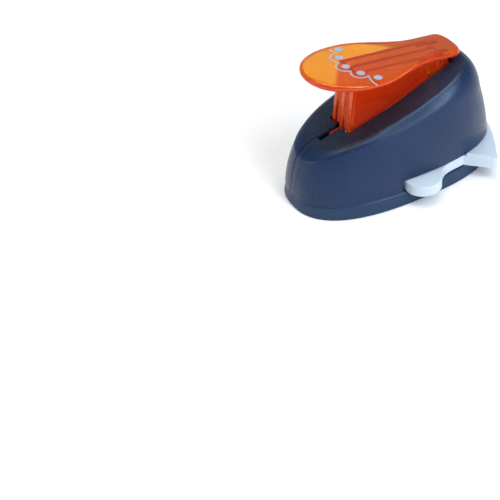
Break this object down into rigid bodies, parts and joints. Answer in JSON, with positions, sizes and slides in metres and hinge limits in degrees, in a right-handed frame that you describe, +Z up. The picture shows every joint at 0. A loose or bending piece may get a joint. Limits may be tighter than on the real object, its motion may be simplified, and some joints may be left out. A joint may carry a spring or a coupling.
{
  "type": "corner punch",
  "caption": "Hand lever punch that cuts a scalloped, pierced corner in paper or card: moulded body, clear hinged lever and slide-on corner guide.",
  "frame": {"origin": "on the table, under the centre of the whole tool's box", "axes": "+X towards the tall rear end where the paper goes in, +Y to the left as seen from the nose looking to the rear, +Z up"},
  "size_m": [0.117, 0.08, 0.0754],
  "materials": {
    "navy_shell": "fine moulded texture, satin",
    "navy_base": "fine moulded texture, satin",
    "orange_lever": "clear tinted, polished",
    "white_guide": "satin",
    "acetal": "natural acetal, satin",
    "ground_steel": "ground",
    "pin_steel": "turned",
    "black_steel": "black oxide",
    "zinc_bracket": "zinc plated",
    "cast_block": "die cast",
    "spring_steel": "drawn wire"
  },
  "bodies": {
    "body": {"base_tray": "navy_base", "guide_deck": "navy_base", "housing": "navy_shell", "nose_strip": "navy_shell", "hinge_pin": "pin_steel", "pin_clips": "black_steel", "bracket_left": "zinc_bracket", "bracket_right": "zinc_bracket", "bracket_screws": "black_steel", "stripper_plate": "ground_steel", "throat_spacer": "black_steel", "die_plate": "ground_steel", "plate_screws": "black_steel", "guide_post_left": "pin_steel", "guide_post_right": "pin_steel", "return_spring_left": "spring_steel", "return_spring_right": "spring_steel", "base_screws": "black_steel"},
    "lever": {"lever": "orange_lever", "thrust_cam": "acetal", "cam_pin": "pin_steel"},
    "punch": {"punch_block": "cast_block", "corner_cutter": "ground_steel", "hole_punches": "ground_steel", "cutter_screw": "black_steel"},
    "guide": {"corner_guide": "white_guide"}
  },
  "joints": [
    {"name": "lever_press", "type": "hinge", "parent": "body", "child": "lever", "pos_m": [0.035, 0, 0.0505], "axis": [0, -1, 0], "range_deg": [0, 25], "stiffness_Nm_per_rad": 1, "springref_deg": -14.32},
    {"name": "punch_slide", "type": "slide", "parent": "body", "child": "punch", "axis": [0, 0, -1], "range_m": [0, 0.005], "deforming": ["return_spring_left", "return_spring_right"]},
    {"name": "guide_slide", "type": "slide", "parent": "body", "child": "guide", "axis": [1, 0, 0], "range_m": [0, 0.045]}
  ],
  "couplings": [
    {"joint": "punch_slide", "follows": "lever_press", "m_per_rad": 0.011}
  ]
}
